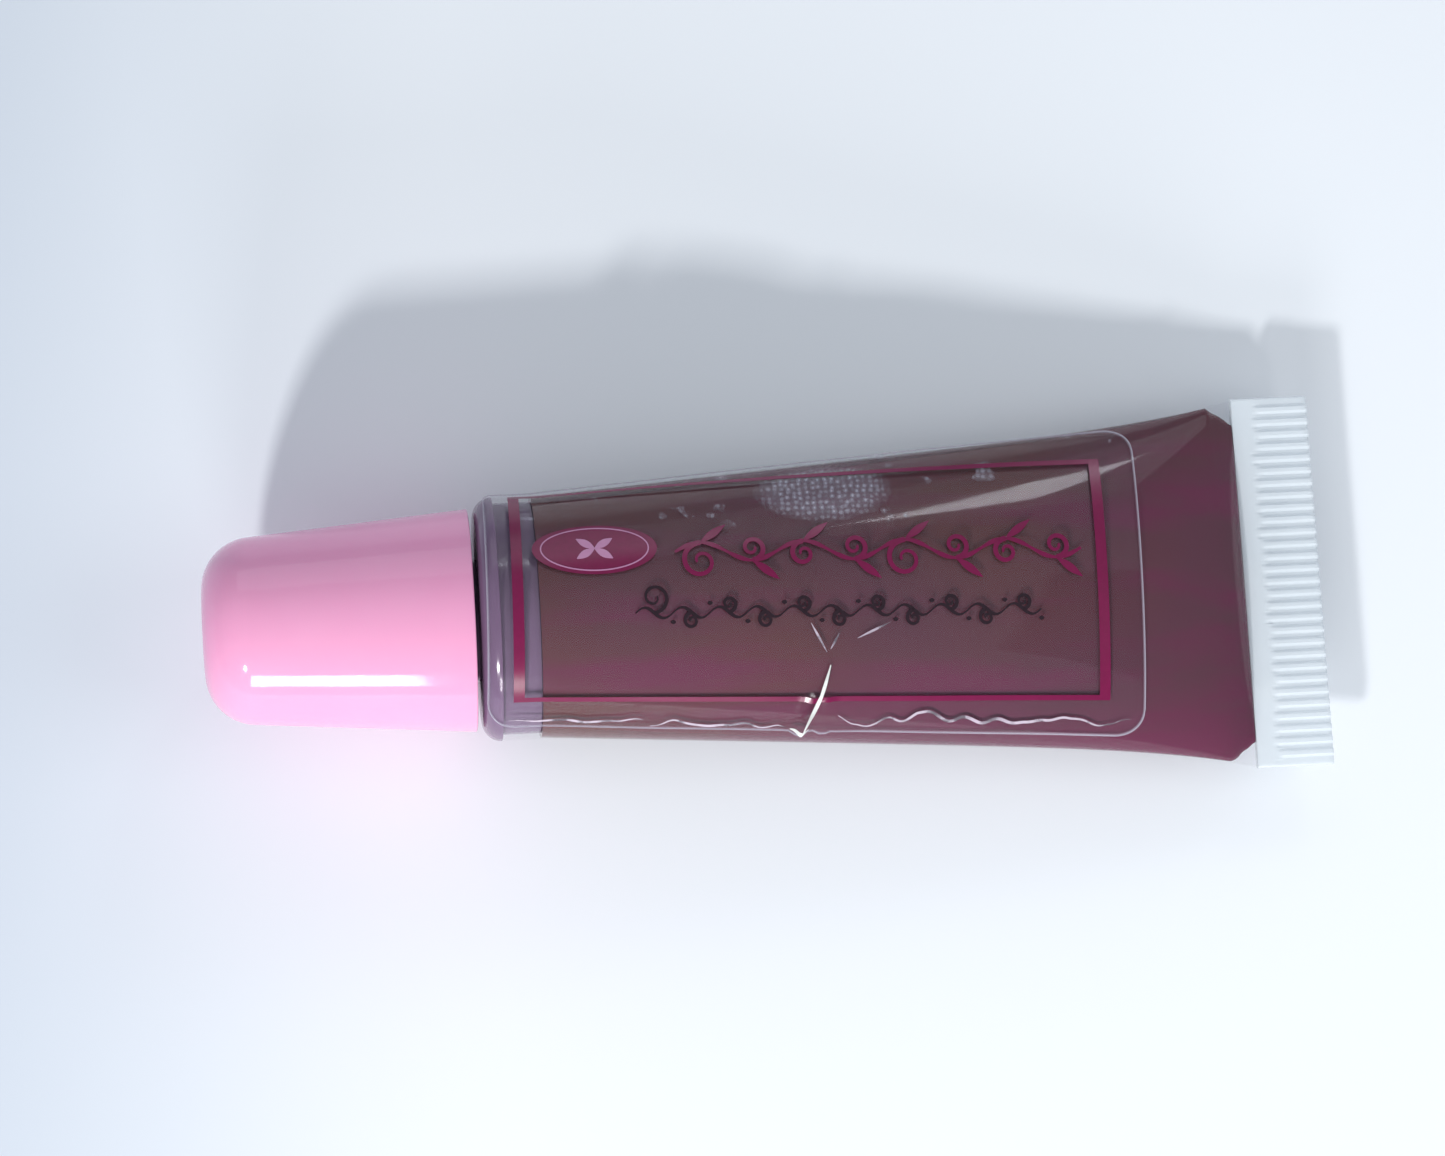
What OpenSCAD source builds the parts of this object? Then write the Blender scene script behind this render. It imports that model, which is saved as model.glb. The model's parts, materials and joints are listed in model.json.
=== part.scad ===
// Squeeze tube of lip gloss with a slanted applicator and a screw cap, lying on its side.
// Every piece is drawn upright on its own axis: Z = 0 is the shoulder's face, the cap is above it
// and the sleeve hangs below it. lay_down() then turns the whole tube on its side along X.

/* [Sleeve] */
// Outside diameter of the sleeve's round end
sleeve_d = 19; // [15:0.5:25]
// Thickness of the sleeve's wall
sleeve_wall = 0.45; // [0.35:0.05:0.6]
// Length from the shoulder's face to the start of the tail seal
sleeve_l = 60.8; // [50:0.1:75]
// Share of the flattening that is spread evenly along the sleeve
even_share = 0.77; // [0.65:0.01:0.8]
// How suddenly the rest of the flattening comes at the tail
tail_power = 8; // [5:1:10]

/* [Tail seal] */
// Smooth band next to the sleeve
seal_smooth_l = 0.9; // [0.7:0.1:2]
// Length of the ribbed band
seal_ribbed_l = 5; // [4:0.1:8]
// Thickness of the two walls once they are pressed together
seal_t = 0.8; // [0.7:0.05:1]
// Distance from one rib to the next
rib_pitch = 0.98; // [0.8:0.02:1.4]
// Height of a rib above the groove beside it
rib_h = 0.2; // [0.1:0.05:0.25]

/* [Head] */
// Radius of the shoulder's rounded edge
shoulder_r = 1.5; // [0.8:0.1:2]
// Thickness of the shoulder
shoulder_t = 1.2; // [0.9:0.1:1.6]
// How far the head's skirt reaches into the sleeve, below the rounded edge
skirt_l = 3; // [2:0.5:5]
// Thickness of the skirt
skirt_wall = 0.8; // [0.6:0.1:1.2]
// Height of the threaded neck
neck_h = 6.2; // [5.5:0.1:7]
// Thickness of the neck's wall under the thread
neck_wall = 1.7; // [1.2:0.1:2]

/* [Thread] */
// Lift for each turn of the cap
thread_pitch = 3; // [2.5:0.1:3.5]
// Number of turns of thread on the neck
thread_turns = 1.45; // [1.1:0.05:1.5]
// Height of the thread above its wall
thread_depth = 0.7; // [0.5:0.05:0.9]
// Axial width of the thread at its crest
thread_crest = 0.6; // [0.4:0.05:0.8]
// Radial gap between one piece's crest and the other piece's wall
thread_gap = 0.25; // [0.15:0.05:0.35]
// Gap between the flanks that pull the closed cap down
flank_gap = 0.15; // [0.1:0.05:0.25]

/* [Applicator nozzle] */
// Thickness of the nozzle's flange on the neck
flange_t = 1; // [0.7:0.1:1.5]
// Height of the nozzle's round collar below its slanted face
collar_h = 1.4; // [1:0.1:2]
// How much the nozzle narrows from collar to tip, on the radius
nozzle_taper = 0.5; // [0.2:0.1:0.8]
// Diameter of the orifice
orifice_d = 1.8; // [1.2:0.1:2.5]
// Depth of the nozzle's plug in the neck
plug_l = 4; // [3:0.5:5]

/* [Cap] */
// Length of the cap
cap_l = 20.8; // [17:0.1:26]
// How far the cap's rim stands in from the sleeve's outside
cap_step = 0.8; // [0.5:0.1:1.2]
// How much the cap narrows from rim to corner, on the radius
cap_taper = 1.4; // [0.8:0.1:1.6]
// Radius of the cap's rounded corner
cap_corner = 4; // [2.5:0.1:4.5]
// Thickness of the cap's wall
cap_wall = 1.1; // [0.9:0.1:1.3]
// Thickness of the cap's end
cap_end_t = 1.3; // [1:0.1:2]
// Gap between the closed cap's rim and the shoulder
rim_gap = 0.4; // [0.2:0.1:0.8]

/* [Cap liner and seal] */
// Thickness of the liner's wall
liner_wall = 0.8; // [0.7:0.1:1]
// Number of ribs that grip the liner in the cap
liner_ribs = 12; // [6:1:16]
// Width of a grip rib, as an angle
liner_rib_deg = 8; // [5:1:12]
// Space between the liner's end and the cap's end, filled by nothing
head_room = 3.6; // [3:0.1:4.5]
// Thickness of the seal ring
seal_ring_t = 0.8; // [0.6:0.1:1.2]

/* [Label] */
// Bare sleeve between the label and the tail seal
label_tail_gap = 9.1; // [6:0.1:15]
// Height of the label round the sleeve
label_h = 25.4; // [19:0.2:28]
// Radius of the label's corners
label_corner = 2.4; // [1:0.1:4]
// How far the label is stuck on askew
label_skew = 1.4; // [0:0.1:3]
// How far round the sleeve the label's middle is from the top
label_shift = 0.9; // [0:0.1:1.5]
// Distance from the shoulder's face to the middle of the label's near end
label_inset = 0.5; // [0.4:0.1:3]
// Thickness of the label's film
label_t = 0.1; // [0.08:0.01:0.15]

/* [Clearances] */
// Gap between pieces that are fused, pressed or stuck together
joined_gap = 0.04; // [0.02:0.01:0.06]
// Gap between pieces that turn or slide past each other
moving_gap = 0.2; // [0.15:0.05:0.3]
// Gap under the label's film, which spans the sleeve's facets
label_gap = 0.1; // [0.08:0.01:0.15]
// Gap between the gloss and the walls round it
gloss_gap = 0.05; // [0.04:0.01:0.1]

/* [Resting place] */
// Where the sleeve touches the table, as a share of its length from the shoulder
rest_share = 0.32; // [0.28:0.01:0.4]
// How much the filled sleeve sags flat where it touches the table
rest_sag = 0.05; // [0.04:0.01:0.1]
// How far the sleeve's straight underside reaches, as a share of its length
rest_end = 0.56; // [0.5:0.01:0.6]

/* [Hidden] */

around = 48;       // corners of a sleeve section
stations = 16;     // sections along the sleeve past its straight part
label_across = 28; // label strips round the sleeve
label_along = 24;  // label strips along the sleeve
per_turn = 40;     // flats in each turn of thread

// Sleeve: round as far as the head's skirt reaches, then flatter and flatter towards the tail.
// Its bore keeps the same perimeter as it flattens, so its width gives its thickness.
sleeve_r = sleeve_d / 2;
bore_r = sleeve_r - sleeve_wall;
flat_r = bore_r * (1 + 1 / sqrt(3));
round_end = shoulder_r + skirt_l;
loft_l = sleeve_l - round_end;

function spread(s) = even_share * s + (1 - even_share) * pow(s, tail_power);
function half_width(s) = bore_r + (flat_r - bore_r) * spread(s);
function half_height(s) =
    let (a = half_width(s), r = bore_r, p = 8 * a - 12 * r, q = 6 * a * a - 12 * r * a + 4 * r * r)
    max(0, (sqrt(max(0, p * p - 24 * q)) - p) / 12);
function level(s) = -round_end - s * loft_l;
function share_at(z) = max(0, (-z - round_end) / loft_l);
station_shares = concat([0], [for (i = [0:stations])
    rest_end + (1 - rest_end) * (1 - pow(1 - i / stations, 1.6))]);

// Head and cap, worked out from the outside inwards
cap_base_r = sleeve_r - cap_step;
cap_top = rim_gap + cap_l;
cap_side_top = cap_top - cap_corner;
function cap_r(z) = cap_base_r - cap_taper * (z - rim_gap) / (cap_side_top - rim_gap);
function cap_bore(z) = cap_r(z) - cap_wall;

flange_top = neck_h + flange_t;
seal_ring_top = flange_top + seal_ring_t;
liner_ledge = seal_ring_top + joined_gap;
liner_shoulder = liner_ledge + liner_wall;
liner_r = cap_bore(liner_shoulder) - 2 * moving_gap;
liner_bore = liner_r - liner_wall;
thread_r = liner_bore - thread_gap;
neck_r = thread_r - thread_depth;
liner_crest_r = neck_r + thread_gap;
neck_bore = neck_r - neck_wall;

nozzle_flange_r = neck_r + thread_gap / 2;
liner_cup_r = neck_r - moving_gap;
nozzle_r = liner_cup_r - 2 * moving_gap;
seal_ring_in = nozzle_r + moving_gap;
seal_ring_out = liner_bore - moving_gap / 2;
liner_top = cap_top - cap_end_t - head_room;
liner_bottom = rim_gap + moving_gap;
nozzle_tip = liner_top - liner_wall - 4 * moving_gap;
slant_low = flange_top + collar_h;
slant_deg = atan((nozzle_tip - slant_low) / (2 * nozzle_r - nozzle_taper));
plug_bottom = neck_h - plug_l;
orifice_mouth_d = orifice_d * 1.4;
orifice_mouth_l = 0.6;

run_out = 0.3;      // plain wall between the shoulder and the thread's first turn
thread_flank = thread_depth * 0.5;
thread_root = thread_crest + 2 * thread_flank;
thread_start = thread_root / 2 + run_out;
thread_sink = 0.15; // how far the thread is sunk into its wall
// Half widths of both threads, added up where their flanks pass each other
thread_mesh = thread_crest + thread_flank * (thread_depth - thread_gap) / (thread_depth + thread_sink);
// The liner's thread lies under the neck's, from its own rim up to the last turn on the neck
liner_thread_under = thread_start - thread_mesh - flank_gap;
liner_thread_skip = (liner_bottom + thread_root / 2 + run_out / 3 - liner_thread_under) / thread_pitch;
liner_thread_start = liner_thread_under + liner_thread_skip * thread_pitch;
liner_thread_turns = thread_turns - liner_thread_skip;

seal_half_w = flat_r + sleeve_wall;
seal_overlap = 0.5;
seal_end = sleeve_l + seal_smooth_l + seal_ribbed_l;
rib_count = floor(2 * (seal_half_w - rib_pitch / 2) / rib_pitch);
rib_half_t = seal_t / 2 + rib_h / 2;
groove_half_t = seal_t / 2 - rib_h / 2;

gloss_stop = sleeve_l - seal_overlap - 0.3;
gloss_chamfer = 2.2;

label_l = sleeve_l - label_inset - label_tail_gap;
// How far the shoulder's rounded edge has fallen away from the sleeve's outside at height z
function edge_drop(z) =
    let (up = max(0, min(0.98 * shoulder_r, z + shoulder_r)))
    shoulder_r - sqrt(shoulder_r * shoulder_r - up * up);

// Resting place: the sleeve's underside is level where it touches the table
rest_press = 0.08;
rest_hollow = 0.02;
share_step = 0.01;
rest_slope = (half_height(rest_share - share_step) - half_height(rest_share + share_step))
    / (2 * share_step * loft_l);
tilt = atan(rest_slope);
underside = rest_sag + min([for (s = station_shares)
    level(s) * sin(tilt) - (half_height(s) + sleeve_wall) * cos(tilt)]);
function table_at(z, inside) = (underside - z * sin(tilt)) / cos(tilt) + inside;
corner_r = cap_r(cap_side_top) - cap_corner;
low_x = -corner_r * sin(tilt) - cap_side_top * cos(tilt) - cap_corner;
high_x = rib_half_t * sin(tilt) + seal_end * cos(tilt);

// Turns an upright piece on its side, cap towards -X, with the origin under the tube's middle
module lay_down() {
    translate([-(low_x + high_x) / 2, 0, -underside])
        rotate([0, tilt - 90, 0])
            children();
}

// The straight part is pressed flat on the table between its two ends, a hair less in its middle,
// and the rest of the sleeve stays just clear of it
function seated(x, z, inside, middle) =
    let (table = table_at(z, inside))
    z > 0.01 - round_end ? max(x, table)
    : z < level(rest_end) - 0.01 ? max(x, table + rest_press)
    : x > table + rest_press ? x
    : middle ? table + rest_hollow : table;
// Sections as [height, half thickness, half width, distance in from the sleeve's outside]
function section(r) = [for (j = [0:around - 1])
    [seated(r[1] * cos(360 * j / around), r[0], r[3], j == around / 2), r[2] * sin(360 * j / around), r[0]]];
function bands(rows, n, start, inward) = [for (i = [0:rows - 2], j = [0:n - 1])
    let (a = start + i * n + j, b = start + i * n + (j + 1) % n, c = a + n, d = b + n)
    each inward ? [[a, c, b], [b, c, d]] : [[a, b, c], [b, d, c]]];
function lid(start, n, flip) = [for (j = [1:n - 2]) flip ? [start, start + j + 1, start + j]
                                                        : [start, start + j, start + j + 1]];

// A solid through sections listed from the top down
module loft(rows) {
    n = len(rows);
    polyhedron(points = [for (r = rows) each section(r)],
               faces = concat(bands(n, around, 0, false),
                              lid(0, around, true),
                              lid((n - 1) * around, around, false)));
}

// An open-topped skin between outer and inner sections, closed at the bottom
module skin(outer, inner) {
    n = len(outer);
    m = len(inner);
    start = n * around;
    polyhedron(points = [for (r = concat(outer, inner)) each section(r)],
               faces = concat(bands(n, around, 0, false),
                              bands(m, around, start, true),
                              lid((n - 1) * around, around, false),
                              lid(start + (m - 1) * around, around, true),
                              [for (j = [0:around - 1])
                                  let (a = j, b = (j + 1) % around, c = start + a, d = start + b)
                                  each [[a, c, b], [b, c, d]]]));
}

// A helical ridge whose section runs from wall radius to crest radius
module thread(wall_r, crest_r, low, turns) {
    sink = sign(crest_r - wall_r) * thread_sink;
    n = ceil(turns * per_turn);
    section_pts = [[wall_r - sink, -thread_root / 2], [crest_r, -thread_crest / 2],
                   [crest_r, thread_crest / 2], [wall_r - sink, thread_root / 2]];
    points = [for (i = [0:n]) let (turn = turns * i / n)
        for (p = section_pts)
            [p[0] * cos(360 * turn), p[0] * sin(360 * turn), low + turn * thread_pitch + p[1]]];
    outward = crest_r > wall_r;
    polyhedron(points = points,
               faces = concat(bands(n + 1, 4, 0, !outward),
                              lid(0, 4, outward),
                              lid(n * 4, 4, !outward)));
}

// Extruded sleeve, round at the shoulder and pressed flat at the tail
module tube_sleeve() {
    function wall_section(s, wall) =
        [level(s), half_height(s) + wall, half_width(s) + wall, sleeve_wall - wall];
    bore_end = share_at(-gloss_stop);
    outer = concat([[-shoulder_r, sleeve_r, sleeve_r, 0]],
                   [for (s = station_shares) wall_section(s, sleeve_wall)]);
    inner = concat([[-shoulder_r, bore_r, bore_r, sleeve_wall]],
                   [for (s = station_shares) if (s < bore_end - 0.004) wall_section(s, 0)],
                   [wall_section(bore_end, 0)]);
    ribs = [for (i = [0:rib_count - 1]) (i - (rib_count - 1) / 2) * rib_pitch];
    foot = rib_pitch * 0.4;
    crest = rib_pitch * 0.15;
    side = concat([[groove_half_t, -seal_half_w]],
                  [for (y = ribs) each [[groove_half_t, y - foot], [rib_half_t, y - crest],
                                        [rib_half_t, y + crest], [groove_half_t, y + foot]]],
                  [[groove_half_t, seal_half_w]]);
    color("thistle") {
        skin(outer, inner);
        translate([-seal_t / 2, -seal_half_w, -sleeve_l - seal_smooth_l - joined_gap])
            cube([seal_t, 2 * seal_half_w, seal_smooth_l + seal_overlap]);
        translate([0, 0, -seal_end])
            linear_extrude(seal_ribbed_l)
                polygon(concat(side, [for (i = [len(side) - 1:-1:0]) [-side[i][0], side[i][1]]]));
    }
}

// Moulded shoulder, threaded neck and the skirt that is fused into the sleeve
module shoulder_head() {
    skirt_r = bore_r - joined_gap;
    skirt_bottom = -shoulder_r - skirt_l;
    inner_r = skirt_r - skirt_wall;
    color("lavender") {
        rotate_extrude($fn = 96) {
            difference() {
                union() {
                    translate([neck_bore, -shoulder_r])
                        square([sleeve_r - shoulder_r - neck_bore, shoulder_r]);
                    intersection() {
                        translate([sleeve_r - shoulder_r, -shoulder_r])
                            circle(shoulder_r, $fn = 48);
                        translate([sleeve_r - shoulder_r, -shoulder_r])
                            square(shoulder_r);
                    }
                }
                translate([0, -shoulder_r - 1])
                    square([inner_r, shoulder_r + 1 - shoulder_t]);
            }
            polygon([[inner_r, skirt_bottom], [skirt_r, skirt_bottom], [skirt_r, -shoulder_r],
                     [skirt_r, -shoulder_r / 2], [inner_r, -shoulder_r / 2]]);
            polygon([[neck_bore, -shoulder_t / 2], [neck_r, -shoulder_t / 2], [neck_r, neck_h],
                     [neck_bore, neck_h]]);
        }
        thread(neck_r, thread_r, thread_start, thread_turns);
    }
}

// Slanted applicator that plugs into the neck, with the orifice through it
module applicator_nozzle() {
    plug_r = neck_bore - joined_gap;
    plug_lead_in = 0.3;
    slant_lead_in = 0.1;
    tip_r = nozzle_r - nozzle_taper;
    color("mistyrose")
        difference() {
            rotate_extrude($fn = 96)
                polygon([[0, plug_bottom], [plug_r - plug_lead_in, plug_bottom],
                         [plug_r, plug_bottom + 2 * plug_lead_in],
                         [plug_r, neck_h + joined_gap], [nozzle_flange_r, neck_h + joined_gap],
                         [nozzle_flange_r, flange_top], [nozzle_r, flange_top], [nozzle_r, slant_low],
                         [tip_r, nozzle_tip], [0, nozzle_tip]]);
            translate([0, 0, plug_bottom - 1])
                cylinder(d = orifice_d, h = nozzle_tip, $fn = 48);
            translate([0, 0, (slant_low + nozzle_tip) / 2 - orifice_mouth_l])
                cylinder(d = orifice_mouth_d, h = nozzle_tip, $fn = 48);
            translate([nozzle_r + slant_lead_in, 0, slant_low])
                rotate([0, slant_deg, 0])
                    translate([-4 * nozzle_r, -2 * nozzle_r, 0])
                        cube([5 * nozzle_r, 4 * nozzle_r, 2 * nozzle_tip]);
        }
}

// The gloss that fills the sleeve and the neck, short of the tail's two corners
module gloss_fill() {
    mouth_r = neck_bore - gloss_gap;
    head_r = bore_r - joined_gap - skirt_wall - gloss_gap;
    head_level = -shoulder_t - gloss_gap;
    skirt_level = -shoulder_r - skirt_l - gloss_gap;
    first = share_at(skirt_level);
    last = share_at(-gloss_stop + gloss_gap);
    between = [for (s = station_shares) if (s > first + 0.02 && s < last - 0.004) s];
    inside = sleeve_wall + gloss_gap;
    color("#6b2a4c")
        loft(concat([[plug_bottom - gloss_gap, mouth_r, mouth_r, inside],
                     [head_level, mouth_r, mouth_r, inside],
                     [head_level, head_r, head_r, inside],
                     [skirt_level, head_r, head_r, inside]],
                    [for (s = concat([first], between, [last]))
                        let (short = max(0, gloss_chamfer - gloss_stop - level(s)))
                        [level(s), half_height(s) - gloss_gap, half_width(s) - gloss_gap - short,
                         inside]]));
}

// Clear sticker that follows the sleeve's upper side, its height measured along the curve
module label_film() {
    function arc_table(s, grow) =
        let (a = half_width(s) + grow, b = half_height(s) + grow, step = 3)
        [for (t = 0, along = 0; t <= 120;
              along = along + norm([a * cos(t + step / 2), b * sin(t + step / 2)]) * step * PI / 180,
              t = t + step)
            [along, t]];
    function edge(u) =
        let (short = max(0, label_corner - min(u, label_l - u)))
        label_h / 2 - label_corner + sqrt(label_corner * label_corner - short * short);
    function strip(j) = 2 * j / label_across - 1;
    // The label turns about its own middle by the angle it is askew
    function film_point(u, v, grow) =
        let (along = u - label_l / 2,
             z = -label_inset - label_l / 2 - along * cos(label_skew) - v * sin(label_skew),
             round = v * cos(label_skew) - along * sin(label_skew) + label_shift,
             s = share_at(z),
             lift = grow - edge_drop(z),
             t = sign(round) * lookup(abs(round), arc_table(s, sleeve_wall)))
        [(half_height(s) + lift) * cos(t), (half_width(s) + lift) * sin(t), z];
    corner_steps = [0, 0.1, 0.3, 0.6];
    rows = concat([for (c = corner_steps) c * label_corner],
                  [for (i = [0:label_along])
                      label_corner + (label_l - 2 * label_corner) * i / label_along],
                  [for (i = [len(corner_steps) - 1:-1:0]) label_l - corner_steps[i] * label_corner]);
    under = sleeve_wall + label_gap;
    n = label_across + 1;
    ring = 2 * n;
    points = [for (u = rows) each concat(
        [for (j = [0:label_across]) film_point(u, edge(u) * strip(j), under + label_t)],
        [for (j = [label_across:-1:0]) film_point(u, edge(u) * strip(j), under)])];
    last = (len(rows) - 1) * ring;
    function end_face(start, flip) = [for (j = [0:label_across - 1])
        let (a = start + j, b = a + 1, c = start + ring - 1 - j, d = c - 1)
        each flip ? [[a, b, c], [b, d, c]] : [[a, c, b], [b, c, d]]];
    color("plum")
        polyhedron(points = points,
                   faces = concat(bands(len(rows), ring, 0, false),
                                  end_face(0, false),
                                  end_face(last, true)));
}

// Soft ring that the closed cap presses on the nozzle's flange
module seal_ring() {
    color("white")
        translate([0, 0, flange_top + joined_gap / 2])
            difference() {
                cylinder(r = seal_ring_out, h = seal_ring_t, $fn = 96);
                translate([0, 0, -1])
                    cylinder(r = seal_ring_in, h = seal_ring_t + 2, $fn = 96);
            }
}

// Inner cap: thread below, a closed cup over the nozzle above, and grip ribs outside
module cap_liner() {
    cup_out = liner_cup_r + liner_wall;
    flange_top = liner_bottom + liner_wall;
    rib_foot = liner_bottom + liner_wall / 2;
    color("whitesmoke") {
        rotate_extrude($fn = 96)
            polygon([[liner_bore, liner_bottom],
                     [cap_bore(liner_bottom) - joined_gap, liner_bottom],
                     [cap_bore(flange_top) - joined_gap, flange_top],
                     [liner_r, flange_top],
                     [liner_r, liner_shoulder],
                     [cup_out, liner_shoulder],
                     [cup_out, liner_top],
                     [0, liner_top],
                     [0, liner_top - liner_wall],
                     [liner_cup_r, liner_top - liner_wall],
                     [liner_cup_r, liner_ledge],
                     [liner_bore, liner_ledge]]);
        rotate([0, 0, 360 * liner_thread_skip])
            thread(liner_bore, liner_crest_r, liner_thread_start, liner_thread_turns);
        for (i = [0:liner_ribs - 1])
            rotate([0, 0, 360 * i / liner_ribs])
                rotate_extrude(angle = liner_rib_deg, $fn = 96)
                    polygon([[liner_r - liner_wall / 2, rib_foot],
                             [cap_bore(rib_foot) - joined_gap, rib_foot],
                             [cap_bore(liner_shoulder) - joined_gap, liner_shoulder],
                             [liner_r - liner_wall / 2, liner_shoulder]]);
    }
}

// Outer cap: a tapered cup with a rounded corner and a flat end
module cap_shell() {
    arc_steps = 10;
    side_deg = atan(cap_taper / (cap_side_top - rim_gap));
    arc = [for (i = [0:arc_steps]) let (t = side_deg + (90 - side_deg) * i / arc_steps)
        [corner_r + cap_corner * cos(t), cap_side_top + cap_corner * sin(t)]];
    inner_corner = cap_corner - cap_wall;
    inner_top = cap_top - cap_end_t;
    inner_arc = [for (i = [0:arc_steps]) let (t = 90 - 90 * i / arc_steps)
        [corner_r + inner_corner * cos(t), inner_top - inner_corner + inner_corner * sin(t)]];
    color("hotpink")
        rotate_extrude($fn = 128)
            polygon(concat([[cap_bore(rim_gap), rim_gap], [cap_base_r, rim_gap]],
                           arc, [[0, cap_top], [0, inner_top]], inner_arc));
}

lay_down() tube_sleeve();
lay_down() shoulder_head();
lay_down() applicator_nozzle();
lay_down() gloss_fill();
lay_down() label_film();
lay_down() seal_ring();
lay_down() cap_liner();
lay_down() cap_shell();
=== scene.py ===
"""Squeeze tube of lip gloss on a pale table: clear sleeve, printed clear label and pink screw cap.

Every piece is drawn upright in millimetres, as the tube would stand on its tail: Z = 0 is the
shoulder's face, the cap is above it and the sleeve hangs below it. +X is the label's side.
lay_down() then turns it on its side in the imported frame.
"""
import json
from math import atan, cos, hypot, pi, radians, sin, sqrt

import bmesh
import bpy
from mathutils import Matrix, Vector, noise


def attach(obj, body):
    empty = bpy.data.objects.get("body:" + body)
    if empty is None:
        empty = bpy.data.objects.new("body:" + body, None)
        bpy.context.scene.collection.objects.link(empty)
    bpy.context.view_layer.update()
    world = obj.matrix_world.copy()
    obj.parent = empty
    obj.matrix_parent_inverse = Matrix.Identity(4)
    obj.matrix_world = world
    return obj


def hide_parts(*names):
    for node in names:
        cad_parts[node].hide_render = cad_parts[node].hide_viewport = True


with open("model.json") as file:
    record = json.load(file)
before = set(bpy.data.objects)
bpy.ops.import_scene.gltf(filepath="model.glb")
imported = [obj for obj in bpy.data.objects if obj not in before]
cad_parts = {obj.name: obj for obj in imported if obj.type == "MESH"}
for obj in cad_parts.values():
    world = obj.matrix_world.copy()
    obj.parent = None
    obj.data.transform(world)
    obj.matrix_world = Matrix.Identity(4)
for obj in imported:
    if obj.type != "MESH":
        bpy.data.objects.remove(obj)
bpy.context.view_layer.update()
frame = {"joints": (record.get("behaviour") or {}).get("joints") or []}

# Sleeve and tail seal, mm
SLEEVE_R = 9.5
SLEEVE_WALL = 0.45
SLEEVE_L = 60.8
EVEN_SHARE = 0.77       # share of the flattening that is spread evenly along the sleeve
TAIL_POWER = 8          # how suddenly the rest comes at the tail
SEAL_SMOOTH_L = 0.9
SEAL_RIBBED_L = 5
SEAL_T = 0.8
RIB_PITCH = 0.98
RIB_H = 0.2

# Head, thread and nozzle, mm
SHOULDER_R = 1.5
SHOULDER_T = 1.2
SKIRT_L = 3
SKIRT_WALL = 0.8
NECK_H = 6.2
NECK_WALL = 1.7
THREAD_PITCH = 3
THREAD_TURNS = 1.45
THREAD_DEPTH = 0.7
THREAD_CREST = 0.6
THREAD_GAP = 0.25
THREAD_SINK = 0.15      # how deep the ridge's root goes into its wall
FLANK_GAP = 0.15
FLANGE_T = 1
COLLAR_H = 1.4
NOZZLE_TAPER = 0.5
ORIFICE_D = 1.8
PLUG_L = 4

# Cap, liner and seal ring, mm
CAP_L = 20.8
CAP_STEP = 0.8
CAP_TAPER = 1.4
CAP_CORNER = 4
CAP_WALL = 1.1
CAP_END_T = 1.3
RIM_GAP = 0.4
LINER_WALL = 0.8
LINER_RIBS = 12
LINER_RIB_DEG = 8
HEAD_ROOM = 3.6
SEAL_RING_T = 0.8
JOINED_GAP = 0.04
MOVING_GAP = 0.2

# Label, mm
LABEL_L = 51.2
LABEL_H = 25.4
LABEL_CORNER = 2.4
LABEL_SKEW = radians(1.4)
LABEL_SHIFT = 0.9
LABEL_INSET = 0.5
LABEL_T = 0.1
LABEL_GAP = 0.06

# The clear wall magnifies the gel, so it looks as wide as the sleeve: it is drawn out to here
LENS_GAP = 0.1

# Worked out from the above
BORE_R = SLEEVE_R - SLEEVE_WALL
FLAT_R = BORE_R * (1 + 1 / sqrt(3))
ROUND_END = SHOULDER_R + SKIRT_L
LOFT_L = SLEEVE_L - ROUND_END
SEAL_HALF_W = FLAT_R + SLEEVE_WALL
SEAL_END = SLEEVE_L + SEAL_SMOOTH_L + SEAL_RIBBED_L
GLOSS_STOP = SLEEVE_L - 0.35

CAP_BASE_R = SLEEVE_R - CAP_STEP
CAP_TOP = RIM_GAP + CAP_L
CAP_SIDE_TOP = CAP_TOP - CAP_CORNER
CAP_CORNER_R = CAP_BASE_R - CAP_TAPER - CAP_CORNER

FLANGE_TOP = NECK_H + FLANGE_T
SEAL_RING_TOP = FLANGE_TOP + SEAL_RING_T
LINER_LEDGE = SEAL_RING_TOP + JOINED_GAP
LINER_SHOULDER = LINER_LEDGE + LINER_WALL


def cap_bore(z):
    """Radius of the cap's inside at height z."""
    return CAP_BASE_R - CAP_TAPER * (z - RIM_GAP) / (CAP_SIDE_TOP - RIM_GAP) - CAP_WALL


LINER_R = cap_bore(LINER_SHOULDER) - 2 * MOVING_GAP
LINER_BORE = LINER_R - LINER_WALL
THREAD_R = LINER_BORE - THREAD_GAP
NECK_R = THREAD_R - THREAD_DEPTH
NECK_BORE = NECK_R - NECK_WALL
NOZZLE_FLANGE_R = NECK_R + THREAD_GAP / 2
LINER_CUP_R = NECK_R - MOVING_GAP
NOZZLE_R = LINER_CUP_R - 2 * MOVING_GAP
LINER_TOP = CAP_TOP - CAP_END_T - HEAD_ROOM
LINER_BOTTOM = RIM_GAP + MOVING_GAP
NOZZLE_TIP = LINER_TOP - LINER_WALL - 4 * MOVING_GAP
SLANT_LOW = FLANGE_TOP + COLLAR_H
SLANT = atan((NOZZLE_TIP - SLANT_LOW) / (2 * NOZZLE_R - NOZZLE_TAPER))
THREAD_ROOT = THREAD_CREST + THREAD_DEPTH
THREAD_START = THREAD_ROOT / 2 + 0.3

MM = 0.001


def lay_down():
    """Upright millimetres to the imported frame, from the cap's own axis of turning."""
    turn = next(j for j in frame["joints"] if j["name"] == "cap_turn")
    up = Vector(turn["axis"]).normalized()
    across = Vector((0, 1, 0))
    facing = across.cross(up)
    place = Matrix((facing, across, up)).transposed().to_4x4()
    return Matrix.Translation(turn["pos_m"]) @ place @ Matrix.Scale(MM, 4)


LYING = lay_down()


# ---------------------------------------------------------------- shaping

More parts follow.
